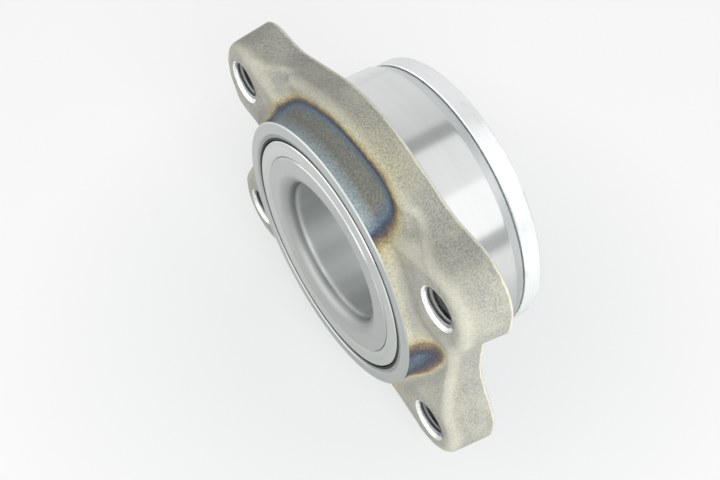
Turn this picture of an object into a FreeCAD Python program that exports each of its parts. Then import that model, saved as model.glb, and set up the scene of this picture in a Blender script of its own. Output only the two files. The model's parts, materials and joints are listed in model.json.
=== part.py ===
import FreeCAD, Part
import math
import os
from FreeCAD import Vector

# Flanged wheel bearing unit, in millimetres.
# The bearing axis is Y, and +Z is up. -Y is outboard, towards the wheel.
# The origin is on the axis, in the plane of the flange's mounting face.

# Flange forging
bolt_spacing_x = 100.0
bolt_spacing_z = 60.0
bolt_hole_radius = 6.0
bolt_chamfer_radius = 6.9
bolt_chamfer_depth = 1.0
bolt_exit_chamfer = 0.6
ear_thickness = 14.5
rim_thickness = 8.4
ear_reach_x = 63.4
ear_reach_z = 44.7
ear_corner_radius = 15.0
ear_shoulder_radius = 12.0
ear_shoulder_z = 24.0
waist_x = 54.2
waist_half_width = 8.0
waist_radius = 14.0
crown_peak_z = 57.1
crown_radius = 54.2
crown_foot_x = 37.5
crown_foot_radius = 25.0
draft_angle = 7.0
forged_edge_radius = 3.0

# Hollows forged into the front of the flange
top_hollow_z = 29.3
top_hollow_slope = 13.3
top_hollow_wall = 8.0
side_hollow_half_width = 20.0
cove_radius = 8.5
forged_blend = 1.6

# Spacing of the sections that carry the forged skin, and points in each
skin_spacing = 1.5
skin_points = 50
front_steps = 60
edge_steps = 12
settling_steps = 60
skin_degree = 3

# How far cutting shapes run past what they cut, and how near counts as touching
overcut = 1.0
tolerance = 0.01

# Outer ring, from its collar in front to its spigot behind
collar_length = 18.4
collar_wall = 4.05
collar_chamfer = 0.4
pilot_radius = 45.5
pilot_length = 18.6
lead_in_length = 3.1
lead_in_drop = 1.1
relief_width = 1.6
relief_depth = 0.6
relief_face_depth = 0.3
gap_width = 0.5
gap_depth = 0.9
spigot_drop = 1.8
spigot_length = 4.8
edge_break = 0.3

# Ball rows; their pitch circle runs midway between bore and pilot, but for its inset,
# and the shoulders of the races are shares of a race's radius
ball_radius = 5.556
balls_per_row = 15
pitch_inset = 0.2
row_spacing = 19.0
race_clearance = 0.08
outer_land_share = 0.32
inner_shoulder_share = 0.23
inner_land_share = 0.94

# Inner rings
bore_radius = 22.5
bore_entry_radius = 5.2
bore_exit_chamfer = 1.5

# Clip that joins the inner rings
clip_length = 6.0
clip_thickness = 0.6
clip_hook_width = 0.9
clip_hook_height = 0.8
clip_clearance = 0.1
clip_inset = 0.2

# Cages
cage_clearance = 0.5
cage_thickness = 3.4
cage_back = 1.3
cage_horn = 2.6
pocket_clearance = 0.15

# Seals
seal_seat_step = 0.364
seal_depth = 5.0
case_thickness = 0.9
case_inset = 0.3
case_web_width = 3.8
rubber_thickness = 0.8
lip_clearance = 0.2
lip_thickness = 0.6
slinger_thickness = 0.8
slinger_gap = 2.1
slinger_inset = 0.1
sleeve_inset = 0.4
encoder_thickness = 1.1
encoder_width = 3.8

# Rear protective cap
cap_thickness = 1.2
cap_lip_width = 4.5
cap_corner_radius = 0.9

# Places along the axis, worked out from the sizes above
front = -collar_length
pilot_end = pilot_length + lead_in_length
spigot_start = pilot_end + gap_width
rear = spigot_start + spigot_length
middle = (front + rear) / 2
half_width = (rear - front) / 2
row_offset = row_spacing / 2

# Radii, worked out from the sizes above
pitch_radius = (bore_radius + pilot_radius) / 2 - pitch_inset
race_radius = ball_radius + race_clearance
outer_race_radius = pitch_radius + race_radius
outer_land_radius = pitch_radius + race_radius * outer_land_share
inner_shoulder_radius = pitch_radius - race_radius * inner_shoulder_share
inner_land_radius = pitch_radius - race_radius * inner_land_share
cage_inner_radius = inner_shoulder_radius + cage_clearance
cage_outer_radius = cage_inner_radius + cage_thickness
seal_seat_radius = outer_race_radius + seal_seat_step
slinger_disc_radius = seal_seat_radius - slinger_gap
collar_radius = seal_seat_radius + collar_wall
lead_in_radius = pilot_radius - lead_in_drop
spigot_radius = pilot_radius - spigot_drop

OUTBOARD = -1
INBOARD = 1
SIDES = {"outboard": OUTBOARD, "inboard": INBOARD}
AXIS = Vector(0, 1, 0)
CENTRE = Vector(0, 0, 0)


def section_point(radius, y):
    """A point of a turned section, drawn in the plane Z = 0."""
    return Vector(radius, y, 0)


def from_middle(side, radius, offset):
    """A section point at a distance from the bearing's middle, on one side of it."""
    return section_point(radius, middle + side * offset)


def on_race(side, turn):
    """A section point on one row's race; turn 0 is outward, positive is away from the middle."""
    radius = pitch_radius + race_radius * math.cos(turn)
    return from_middle(side, radius, row_offset + race_radius * math.sin(turn))


def turn_at(radius):
    """Turn from outward at which a race reaches a radius."""
    return math.acos((radius - pitch_radius) / race_radius)


def turned(steps):
    """Solid turned about the axis from section points; a pair (through, end) is an arc."""
    edges = []
    here = steps[0]
    for step in steps[1:] + [steps[0]]:
        if isinstance(step, tuple):
            through, end = step
            edges.append(Part.Arc(here, through, end).toShape())
        else:
            end = step
            edges.append(Part.LineSegment(here, end).toShape())
        here = end
    return Part.Face(Part.Wire(edges)).revolve(CENTRE, AXIS, 360)


def rounded_outline(corners):
    """Closed outline in the plane of the mounting face from corners (x, z, radius)."""
    points = [Vector(x, 0, z) for x, z, radius in corners]
    arcs = []
    for index, (x, z, radius) in enumerate(corners):
        corner = points[index]
        back = (points[index - 1] - corner).normalize()
        ahead = (points[(index + 1) % len(points)] - corner).normalize()
        half = back.getAngle(ahead) / 2
        run = radius / math.tan(half)
        inward = (back + ahead).normalize()
        through = corner + inward * (radius / math.sin(half) - radius)
        arcs.append((corner + back * run, through, corner + ahead * run))
    edges = []
    for index, (start, through, end) in enumerate(arcs):
        following = arcs[(index + 1) % len(arcs)][0]
        edges.append(Part.Arc(start, through, end).toShape())
        edges.append(Part.LineSegment(end, following).toShape())
    return Part.Wire(edges)


def flange_outline():
    """Outline of the flange at the mounting face, clockwise from the top seen from the front."""
    quarter = [
        (crown_foot_x, ear_reach_z, crown_foot_radius),
        (ear_reach_x, ear_reach_z, ear_corner_radius),
        (ear_reach_x, ear_shoulder_z, ear_shoulder_radius),
        (waist_x, waist_half_width, waist_radius),
    ]
    right = quarter + [(x, -z, radius) for x, z, radius in reversed(quarter)]
    left = [(-x, -z, radius) for x, z, radius in right]
    top = (0, crown_peak_z, crown_radius)
    bottom = (0, -crown_peak_z, crown_radius)
    return rounded_outline([top] + right + [bottom] + left)


def outline_places():
    """Points along the outline from the top to the right side, each with its way inwards."""
    places = []
    for edge in flange_outline().Edges:
        steps = 2 * math.ceil(edge.Length / skin_spacing / 2)
        for step in range(steps):
            at = edge.getParameterByLength(edge.Length * step / steps)
            along = edge.tangentAt(at)
            places.append((edge.valueAt(at), Vector(along.z, 0, -along.x)))
    return [(point, inward) for point, inward in places
            if point.x > -tolerance and point.z > -tolerance]


def ramp(value):
    """Smooth step from 0 to 1."""
    value = min(max(value, 0), 1)
    return value * value * (3 - 2 * value)


def soft_min(a, b):
    """The lesser of two depths, blended where they meet within the collar's height."""
    blend = min(2 * forged_blend, collar_length - ear_thickness)
    share = min(max(0.5 + (b - a) / (2 * blend), 0), 1)
    return b + (a - b) * share - blend * share * (1 - share)


def hollow_depth(x, z):
    """Depth of the hollows between the ears, behind the ears' front faces."""
    slope = math.radians(top_hollow_slope)
    past_ear = (abs(z) - top_hollow_z) * math.cos(slope) - abs(x) * math.sin(slope)
    top = ramp(past_ear / top_hollow_wall)
    side = 1 - ramp(abs(z) / side_hollow_half_width)
    return (ear_thickness - rim_thickness) * (1 - (1 - top) * (1 - side))


def front_height(point):
    """Height of the forged front above the mounting face."""
    out = math.hypot(point.x, point.z) - collar_radius
    in_cove = min(max(out, 0), cove_radius)
    cove = math.sqrt(cove_radius ** 2 - (cove_radius - in_cove) ** 2) + out - in_cove
    depth = collar_length - ear_thickness + hollow_depth(point.x, point.z)
    return collar_length - soft_min(depth, cove)


def edge_rounding(point, inward):
    """Arc that rounds the forged edge: its centre's distance inwards and height, and front slope."""
    lean = math.radians(draft_angle)
    distance = forged_edge_radius
    for _ in range(settling_steps):
        here = front_height(point + inward * distance)
        rise = front_height(point + inward * (distance + tolerance)) - here
        slope = math.atan(rise / tolerance)
        height = here - forged_edge_radius / math.cos(slope)
        distance = height * math.tan(lean) + forged_edge_radius / math.cos(lean)
    return distance, height, slope


def forged_section(share, point, inward):
    """The forged skin from the collar to one place of the outline, a share of the way round."""
    lean = math.radians(draft_angle)
    distance, height, slope = edge_rounding(point, inward)
    crest = point + inward * (distance - forged_edge_radius * math.sin(slope))
    angle = math.pi / 2 * (1 - share)
    foot = Vector(math.cos(angle), 0, math.sin(angle)) * collar_radius
    skin = []
    for step in range(front_steps):
        place = foot + (crest - foot) * (step / front_steps) ** 2
        skin.append(place - AXIS * front_height(place))
    crest_turn = math.pi / 2 - slope
    for step in range(edge_steps + 1):
        turn = crest_turn + (lean - crest_turn) * step / edge_steps
        inset = distance - forged_edge_radius * math.cos(turn)
        skin.append(point + inward * inset - AXIS * (height + forged_edge_radius * math.sin(turn)))
    skin.append(point)
    return evenly(skin)


def evenly(path):
    """Evenly spaced points along a path of straight steps."""
    reached = [0]
    for start, end in zip(path, path[1:]):
        reached.append(reached[-1] + start.distanceToPoint(end))
    points = [path[0]]
    at = 1
    for number in range(1, skin_points):
        goal = reached[-1] * number / skin_points
        while reached[at] < goal:
            at += 1
        share = (goal - reached[at - 1]) / (reached[at] - reached[at - 1])
        points.append(path[at - 1] + (path[at] - path[at - 1]) * share)
    return points + [path[-1]]


def flat_face(edge):
    """Flat face between a curved edge and the bearing axis."""
    first, last = [vertex.Point for vertex in edge.Vertexes]
    path = [last, Vector(0, last.y, 0), Vector(0, first.y, 0), first]
    lines = [Part.LineSegment(start, end).toShape() for start, end in zip(path, path[1:])
             if start.distanceToPoint(end) > tolerance]
    return Part.Face(Part.Wire(Part.__sortEdges__([edge] + lines)))


def skin_knots(poles):
    """Multiplicities and knots of a spline that ends on its first and last poles."""
    ends = skin_degree + 1
    inner = poles - ends
    return [ends] + [1] * inner + [ends], list(range(inner + 2))


def flange_quarter():
    """One quarter of the forging: its skin between two planes of symmetry, closed by flat faces."""
    places = outline_places()
    last = len(places) - 1
    sections = [forged_section(number / last, point, inward)
                for number, (point, inward) in enumerate(places)]
    around_mults, around_knots = skin_knots(len(sections))
    across_mults, across_knots = skin_knots(len(sections[0]))
    surface = Part.BSplineSurface()
    surface.buildFromPolesMultsKnots(sections, around_mults, across_mults,
                                     around_knots, across_knots, False, False,
                                     skin_degree, skin_degree)
    skin = surface.toShape()
    shell = Part.Shell([skin] + [flat_face(edge) for edge in skin.Edges])
    shell.sewShape()
    return Part.Solid(shell)


def flange():
    """The forging: one quarter mirrored twice."""
    quarter = flange_quarter()
    half = quarter.fuse(quarter.mirror(CENTRE, Vector(1, 0, 0)))
    return half.fuse(half.mirror(CENTRE, Vector(0, 0, 1)))


def bolt_hole(x, z):
    """A threaded hole's plain wall with a chamfer at each end."""
    wall = Part.makeCylinder(bolt_hole_radius, collar_length + overcut, Vector(x, front, z), AXIS)
    steepness = (bolt_chamfer_radius - bolt_hole_radius) / bolt_chamfer_depth
    mouth = Part.makeCone(bolt_chamfer_radius + overcut * steepness, bolt_hole_radius,
                          bolt_chamfer_depth + overcut, Vector(x, -ear_thickness - overcut, z), AXIS)
    leaving = Part.makeCone(bolt_hole_radius, bolt_hole_radius + bolt_exit_chamfer + overcut,
                            bolt_exit_chamfer + overcut, Vector(x, -bolt_exit_chamfer, z), AXIS)
    return wall.fuse([mouth, leaving])


def collar_edge():
    """What the chamfer on the collar's front edge takes away."""
    return turned([
        section_point(collar_radius - collar_chamfer - overcut, front - overcut),
        section_point(collar_radius + overcut, front - overcut),
        section_point(collar_radius + overcut, front + collar_chamfer + overcut),
    ])


def relief():
    """Undercut in the corner between pilot and mounting face, for the edge of a knuckle's bore."""
    return turned([
        section_point(pilot_radius - relief_depth, -relief_face_depth),
        section_point(pilot_radius + relief_depth, -relief_face_depth),
        section_point(pilot_radius + relief_depth, relief_width),
        section_point(pilot_radius - relief_depth, relief_width),
    ])


def pilot():
    """The turned outside behind the mounting face: pilot, lead-in and spigot."""
    return turned([
        section_point(0, 0),
        section_point(pilot_radius, 0),
        section_point(pilot_radius, pilot_length),
        section_point(lead_in_radius, pilot_end),
        section_point(spigot_radius - gap_depth, pilot_end),
        section_point(spigot_radius - gap_depth, spigot_start),
        section_point(spigot_radius, spigot_start),
        section_point(spigot_radius, rear),
        section_point(0, rear),
    ])


def outer_ring_half_bore(side):
    """Seal seat and race inside the outer ring, from one end to the middle."""
    land_turn = -turn_at(outer_land_radius)
    return turned([
        from_middle(side, 0, half_width + overcut),
        from_middle(side, seal_seat_radius + edge_break + overcut, half_width + overcut),
        from_middle(side, seal_seat_radius, half_width - edge_break),
        from_middle(side, seal_seat_radius, half_width - seal_depth),
        from_middle(side, outer_race_radius, half_width - seal_depth),
        on_race(side, 0),
        (on_race(side, land_turn / 2), on_race(side, land_turn)),
        from_middle(side, outer_land_radius, 0),
        from_middle(side, 0, 0),
    ])


def outer_ring():
    """Forged flange with collar, pilot, seal seats, races and threaded holes."""
    tools = [collar_edge(), relief()] + [outer_ring_half_bore(side) for side in SIDES.values()]
    for x in (-bolt_spacing_x / 2, bolt_spacing_x / 2):
        for z in (-bolt_spacing_z / 2, bolt_spacing_z / 2):
            tools.append(bolt_hole(x, z))
    return flange().fuse(pilot()).cut(tools)


def bore_mouth(side):
    """Depth and section of the bore's end: rounded outboard to clear a hub's fillet."""
    if side == INBOARD:
        return bore_exit_chamfer, from_middle(side, bore_radius + bore_exit_chamfer, half_width)
    reach = bore_entry_radius
    bevel = reach * (1 - math.sqrt(0.5))
    through = from_middle(side, bore_radius + bevel, half_width - bevel)
    return reach, (through, from_middle(side, bore_radius + reach, half_width))


def inner_ring(side):
    """One inner ring: bore with its clip groove, low land, race and shoulder."""
    channel_radius = bore_radius + clip_inset + clip_thickness + clip_clearance
    groove_radius = channel_radius + clip_hook_height
    groove_end = clip_length / 2 + clip_clearance
    groove_start = groove_end - clip_hook_width - 2 * clip_clearance
    mouth_depth, mouth = bore_mouth(side)
    shoulder_turn = turn_at(inner_shoulder_radius)
    land_turn = 2 * math.pi - turn_at(inner_land_radius)
    return turned([
        from_middle(side, channel_radius, 0),
        from_middle(side, channel_radius, groove_start),
        from_middle(side, groove_radius, groove_start),
        from_middle(side, groove_radius, groove_end),
        from_middle(side, bore_radius, groove_end),
        from_middle(side, bore_radius, half_width - mouth_depth),
        mouth,
        from_middle(side, inner_shoulder_radius - edge_break, half_width),
        from_middle(side, inner_shoulder_radius, half_width - edge_break),
        on_race(side, shoulder_turn),
        (on_race(side, (shoulder_turn + land_turn) / 2), on_race(side, land_turn)),
        from_middle(side, inner_land_radius, 0),
    ])


def ring_clip():
    """Sprung ring whose two hooks hold the inner rings together in their bore grooves."""
    inside = bore_radius + clip_inset
    web = inside + clip_thickness
    hook = web + clip_hook_height
    end = clip_length / 2
    hook_start = end - clip_hook_width
    return turned([
        from_middle(INBOARD, inside, -end),
        from_middle(INBOARD, hook, -end),
        from_middle(INBOARD, hook, -hook_start),
        from_middle(INBOARD, web, -hook_start),
        from_middle(INBOARD, web, hook_start),
        from_middle(INBOARD, hook, hook_start),
        from_middle(INBOARD, hook, end),
        from_middle(INBOARD, inside, end),
    ])


def row_of_spheres(side, radius):
    """Spheres at one row's ball centres; the inboard row stands half a pitch further round."""
    first = Part.makeSphere(radius, from_middle(side, pitch_radius, row_offset), AXIS)
    pitch = 360 / balls_per_row
    start = pitch / 2 if side == INBOARD else 0
    return [first.rotated(CENTRE, AXIS, start + pitch * number) for number in range(balls_per_row)]


def cage(side):
    """Moulded snap cage: a ring behind the balls with horns that reach past their middle."""
    back = row_offset + ball_radius + pocket_clearance + cage_back
    horn = row_offset - cage_horn
    ring = turned([
        from_middle(side, cage_inner_radius, back),
        from_middle(side, cage_outer_radius, back),
        from_middle(side, cage_outer_radius, horn),
        from_middle(side, cage_inner_radius, horn),
    ])
    return ring.cut(row_of_spheres(side, ball_radius + pocket_clearance))


def seal_case(side):
    """Drawn steel ring pressed into the outer ring's seat, with a web inwards."""
    web_start = half_width - seal_depth
    web_end = web_start + case_thickness
    lip_end = half_width - case_inset
    web_radius = seal_seat_radius - case_web_width
    return turned([
        from_middle(side, web_radius, web_start),
        from_middle(side, seal_seat_radius, web_start),
        from_middle(side, seal_seat_radius, lip_end),
        from_middle(side, seal_seat_radius - case_thickness, lip_end),
        from_middle(side, seal_seat_radius - case_thickness, web_end),
        from_middle(side, web_radius, web_end),
    ])


def slinger_face(side):
    """Offset of the slinger's outer face; the inboard one stands back for its encoder."""
    standing_back = encoder_thickness if side == INBOARD else 0
    return half_width - slinger_inset - standing_back


def seal_lip(side):
    """Rubber bonded to the case: a lining, a lip on the slinger's sleeve and one at its disc."""
    web_radius = seal_seat_radius - case_web_width
    outside = seal_seat_radius - case_thickness
    lining = outside - rubber_thickness
    base = half_width - seal_depth + case_thickness
    skin = base + rubber_thickness
    sleeve = inner_shoulder_radius + slinger_thickness + lip_clearance
    disc = slinger_face(side) - slinger_thickness - lip_clearance
    return turned([
        from_middle(side, outside, base),
        from_middle(side, outside, half_width - case_inset),
        from_middle(side, lining, half_width - case_inset),
        from_middle(side, lining, skin),
        from_middle(side, web_radius + 2 * lip_thickness, skin),
        from_middle(side, lining - lip_thickness, disc),
        from_middle(side, lining - 2 * lip_thickness, disc),
        from_middle(side, web_radius, skin),
        from_middle(side, sleeve + lip_thickness / 2, skin + lip_thickness),
        from_middle(side, sleeve, skin),
        from_middle(side, sleeve + lip_thickness / 2, base + lip_thickness / 2),
        from_middle(side, web_radius, base),
    ])


def slinger(side):
    """Angled ring pressed on the inner ring: a sleeve for the lip and a disc over the seal."""
    face = slinger_face(side)
    sleeve_end = half_width - seal_depth + sleeve_inset
    sleeve_radius = inner_shoulder_radius + slinger_thickness
    bend = slinger_thickness * (1 - math.sqrt(0.5))
    return turned([
        from_middle(side, inner_shoulder_radius, sleeve_end),
        from_middle(side, inner_shoulder_radius, face - slinger_thickness),
        (from_middle(side, inner_shoulder_radius + bend, face - bend),
         from_middle(side, sleeve_radius, face)),
        from_middle(side, slinger_disc_radius - edge_break, face),
        from_middle(side, slinger_disc_radius, face - edge_break),
        from_middle(side, slinger_disc_radius, face - slinger_thickness),
        from_middle(side, sleeve_radius, face - slinger_thickness),
        from_middle(side, sleeve_radius, sleeve_end),
    ])


def encoder_ring():
    """Magnetic ring bonded to the inboard slinger's disc, read by a wheel speed sensor."""
    base = slinger_face(INBOARD)
    outside = slinger_disc_radius - edge_break
    return turned([
        from_middle(INBOARD, outside - encoder_width, base),
        from_middle(INBOARD, outside, base),
        from_middle(INBOARD, outside, base + encoder_thickness),
        from_middle(INBOARD, outside - encoder_width, base + encoder_thickness),
    ])


def rear_cap():
    """Plated ring pressed over the spigot, with a lip that covers the outer ring's rear face."""
    outside = spigot_radius + cap_thickness
    end = rear + cap_thickness
    bend = cap_corner_radius * (1 - math.sqrt(0.5))
    return turned([
        section_point(spigot_radius, spigot_start),
        section_point(outside - edge_break, spigot_start),
        section_point(outside, spigot_start + edge_break),
        section_point(outside, end - cap_corner_radius),
        (section_point(outside - bend, end - bend),
         section_point(outside - cap_corner_radius, end)),
        section_point(outside - cap_lip_width, end),
        section_point(outside - cap_lip_width, rear),
        section_point(spigot_radius, rear),
    ])


def pieces():
    """Every piece by its name."""
    found = {
        "outer_ring": outer_ring(),
        "ring_clip": ring_clip(),
        "encoder_ring": encoder_ring(),
        "rear_cap": rear_cap(),
    }
    for name, side in SIDES.items():
        found[name + "_inner_ring"] = inner_ring(side)
        found[name + "_cage"] = cage(side)
        found[name + "_seal_case"] = seal_case(side)
        found[name + "_seal_lip"] = seal_lip(side)
        found[name + "_slinger"] = slinger(side)
        for number, ball in enumerate(row_of_spheres(side, ball_radius), 1):
            found[f"{name}_ball_{number:02d}"] = ball
    return found


os.makedirs("parts", exist_ok=True)
for name, shape in pieces().items():
    shape.exportStep("parts/" + name + ".step")
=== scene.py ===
import json
import math

import bpy
import numpy as np
from bpy.props import FloatProperty, FloatVectorProperty, IntProperty, PointerProperty
from mathutils import Matrix, Vector


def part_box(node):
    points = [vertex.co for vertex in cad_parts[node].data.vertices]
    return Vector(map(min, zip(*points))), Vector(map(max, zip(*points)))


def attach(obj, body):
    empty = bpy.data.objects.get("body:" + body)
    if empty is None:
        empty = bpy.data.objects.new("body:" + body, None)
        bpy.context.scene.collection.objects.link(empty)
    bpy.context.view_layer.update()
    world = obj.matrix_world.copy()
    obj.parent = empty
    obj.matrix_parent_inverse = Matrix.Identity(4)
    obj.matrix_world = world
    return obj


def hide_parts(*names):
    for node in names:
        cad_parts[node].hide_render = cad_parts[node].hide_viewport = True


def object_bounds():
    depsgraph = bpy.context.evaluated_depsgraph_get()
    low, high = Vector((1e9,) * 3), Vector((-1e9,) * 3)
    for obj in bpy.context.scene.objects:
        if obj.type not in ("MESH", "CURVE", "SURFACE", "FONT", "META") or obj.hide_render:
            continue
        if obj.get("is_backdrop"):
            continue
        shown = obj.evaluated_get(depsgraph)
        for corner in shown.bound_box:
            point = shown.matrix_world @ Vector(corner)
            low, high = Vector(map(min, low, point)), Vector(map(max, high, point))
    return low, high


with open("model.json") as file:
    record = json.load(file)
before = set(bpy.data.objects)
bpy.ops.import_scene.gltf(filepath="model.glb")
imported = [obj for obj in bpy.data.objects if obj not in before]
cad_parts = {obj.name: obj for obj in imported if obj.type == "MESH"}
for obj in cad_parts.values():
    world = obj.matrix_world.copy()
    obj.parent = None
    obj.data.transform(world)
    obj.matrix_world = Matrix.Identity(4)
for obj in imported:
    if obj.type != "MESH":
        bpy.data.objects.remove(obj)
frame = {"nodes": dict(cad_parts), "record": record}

bl_info = {
    "name": "Flanged Wheel Bearing Unit",
    "version": (1, 0, 0),
    "blender": (4, 5, 0),
    "location": "3D View > Sidebar > Bearing Unit",
    "description": "Dresses the packed wheel bearing unit with forged, ground and plated finishes",
    "category": "Object",
}

# The bearing axis is Y, +Z is up and -Y is outboard. Sizes are in metres, finishes' in millimetres.
MM = 0.001
RING_LOW, RING_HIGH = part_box("outer_ring")
MOUNTS = {mount["name"]: mount for mount in frame["record"]["mounts"]}
BOLTS = MOUNTS["bolts"]["dims"]
HOLE_RADIUS = BOLTS["hole_r_mm"] * MM


def length(name, description, default):
    """A length that a user may change."""
    return FloatProperty(name=name, description=description, default=default, min=0.0,
                         precision=5, unit="LENGTH", subtype="DISTANCE")


def angle(name, description, degrees):
    """An angle that a user may change."""
    return FloatProperty(name=name, description=description, default=math.radians(degrees),
                         unit="ROTATION", subtype="ANGLE")


def amount(name, description, default):
    """A plain number that a user may change."""
    return FloatProperty(name=name, description=description, default=default, min=0.0)


def colour(name, description, default):
    """A colour that a user may change."""
    return FloatVectorProperty(name=name, description=description, default=default, min=0.0,
                               max=1.0, size=3, subtype="COLOR")


def place(name, description, default):
    """A place that a user may change."""
    return FloatVectorProperty(name=name, description=description, default=default, size=3,
                               unit="LENGTH", subtype="TRANSLATION")


def power(name, description, default):
    """A lamp's power that a user may change."""
    return FloatProperty(name=name, description=description, default=default, min=0.0, unit="POWER")


class FlangeSizes(bpy.types.PropertyGroup):
    """Sizes of the forged flange."""
    ear_thickness: length("Ear thickness", "From the mounting face to an ear's front", 14.5 * MM)
    rim_thickness: length("Rim thickness", "From the mounting face to a hollow's floor", 8.4 * MM)
    ear_reach_x: length("Ear reach along X", "From the axis to an ear's side", RING_HIGH.x)
    ear_reach_z: length("Ear reach along Z", "From the axis to an ear's end", 44.7 * MM)
    ear_corner_radius: length("Ear corner radius", "Outer corner of an ear", 15 * MM)
    ear_shoulder_radius: length("Ear shoulder radius", "Where an ear turns to the waist", 12 * MM)
    ear_shoulder_z: length("Ear shoulder", "Height of an ear's inner corner", 24 * MM)
    waist_x: length("Waist", "From the axis to the side between two ears", 54.2 * MM)
    waist_half_width: length("Waist half width", "Half the width of the waist's bottom", 8 * MM)
    waist_radius: length("Waist radius", "Corner between waist and ear", 14 * MM)
    crown_peak_z: length("Crown peak", "Height of the point where the crown's sides meet", 57.1 * MM)
    crown_radius: length("Crown radius", "Rounding of the crown", 54.2 * MM)
    crown_foot_x: length("Crown foot", "Where the crown's side meets an ear", 37.5 * MM)
    crown_foot_radius: length("Crown foot radius", "Rounding between crown and ear", 25 * MM)
    draft: angle("Draft", "Lean of the forged wall", 7)
    edge_radius: length("Forged edge", "Rounding of the forged front edge", 3 * MM)
    back_bevel: length("Back edge", "Bevel left by facing the back", 0.25 * MM)
    top_hollow_z: length("Top hollow", "Where the top hollow's wall starts", 29.3 * MM)
    top_hollow_slope: angle("Top hollow slope", "Turn of the top hollow's wall", 13.3)
    top_hollow_wall: length("Top hollow wall", "Width of the wall's slope", 8 * MM)
    side_hollow: length("Side hollow", "Half the width of the side hollow", 20 * MM)
    cove_radius: length("Cove", "Rounding from the collar into the flange", 8.5 * MM)
    blend: length("Blend", "Softness where the forged forms meet", 1.6 * MM)
    wander: length("Wander", "How far the forged skin strays from its true form", 0.12 * MM)


class TurnedSizes(bpy.types.PropertyGroup):
    """Sizes of the outer ring's turned and ground surfaces."""
    collar_radius: length("Collar radius", "Outside of the collar in front", 43.85 * MM)
    collar_chamfer: length("Collar chamfer", "Front edge of the collar", 0.4 * MM)
    relief_depth: length("Relief depth", "Undercut between pilot and mounting face", 0.6 * MM)
    relief_face: length("Relief in the face", "Its depth in the mounting face", 0.3 * MM)
    relief_width: length("Relief width", "Its width along the pilot", 1.6 * MM)
    pilot_length: length("Pilot length", "From the mounting face to the lead-in", 18.6 * MM)
    lead_in_length: length("Lead-in length", "Length of the tapered end", 3.1 * MM)
    lead_in_radius: length("Lead-in radius", "Small end of the taper", 44.4 * MM)
    gap_width: length("Gap", "Gap between the lead-in and the cap", 0.5 * MM)
    gap_radius: length("Gap radius", "Bottom of that gap", 42.8 * MM)
    spigot_radius: length("Spigot radius", "Seat of the rear cap", 43.7 * MM)
    seat_radius: length("Seal seat", "Seat of the seal cases", 39.8 * MM)
    seat_depth: length("Seal seat depth", "Depth of the seal seats", 5 * MM)
    race_radius: length("Race", "Radius of a race's section", 5.636 * MM)
    pitch_radius: length("Pitch radius", "Circle of the ball centres", 33.8 * MM)
    row_offset: length("Row offset", "From the middle to a row of balls", 9.5 * MM)
    land_radius: length("Land", "Shoulder between the races", 35.6 * MM)
    edge_break: length("Broken edge", "Chamfer of the turned edges", 0.3 * MM)


class HoleSizes(bpy.types.PropertyGroup):
    """Sizes of the threaded holes."""
    mouth_radius: length("Mouth radius", "Countersink at the ear's front", 6.9 * MM)
    mouth_depth: length("Mouth depth", "Depth of the countersink", 1 * MM)
    exit_chamfer: length("Exit chamfer", "Chamfer at the mounting face", 0.6 * MM)
    pitch: length("Thread pitch", "From one ridge to the next", 1.5 * MM)
    crest_radius: length("Crest radius", "Inner radius of the thread", 5.2 * MM)
    crest_width: length("Crest width", "Flat on top of a ridge", 0.24 * MM)
    root_width: length("Root width", "Width of a ridge at its root", 1.38 * MM)


class MeshSizes(bpy.types.PropertyGroup):
    """Fineness of the meshes."""
    spacing: length("Spacing", "Distance between points of the outer ring", 0.5 * MM)
    turns: IntProperty(name="Steps in a turn", description="Steps round a hole", default=72, min=12)


class FinishColours(bpy.types.PropertyGroup):
    """Colours of the finishes."""
    forged: colour("Forged steel", "Shot-blasted skin", (0.44, 0.44, 0.385))
    # The dark forged colour is also the painted shade in the forging's hollows.
    forged_dark: colour("Forged steel, dark", "Mottling of the skin", (0.27, 0.27, 0.24))
    ground: colour("Ground steel", "Ground running faces", (0.74, 0.76, 0.745))
    turned: colour("Turned steel", "Turned faces", (0.68, 0.71, 0.705))
    zinc: colour("Zinc plate", "Rear cap", (0.93, 0.96, 0.95))
    zinc_stain: colour("Zinc stain", "Passivation streaks", (0.60, 0.68, 0.62))
    slinger: colour("Slinger", "Drawn stainless steel", (0.80, 0.83, 0.81))
    case: colour("Seal case", "Grey coating", (0.36, 0.37, 0.37))
    rubber: colour("Seal rubber", "Moulded rubber", (0.02, 0.02, 0.022))
    encoder: colour("Encoder", "Ferrite-filled rubber", (0.03, 0.028, 0.027))
    nylon: colour("Cage", "Glass-filled nylon", (0.62, 0.55, 0.38))
    ball: colour("Balls", "Lapped steel", (0.80, 0.80, 0.81))
    spring: colour("Clip", "Spring steel strip", (0.45, 0.45, 0.46))


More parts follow.
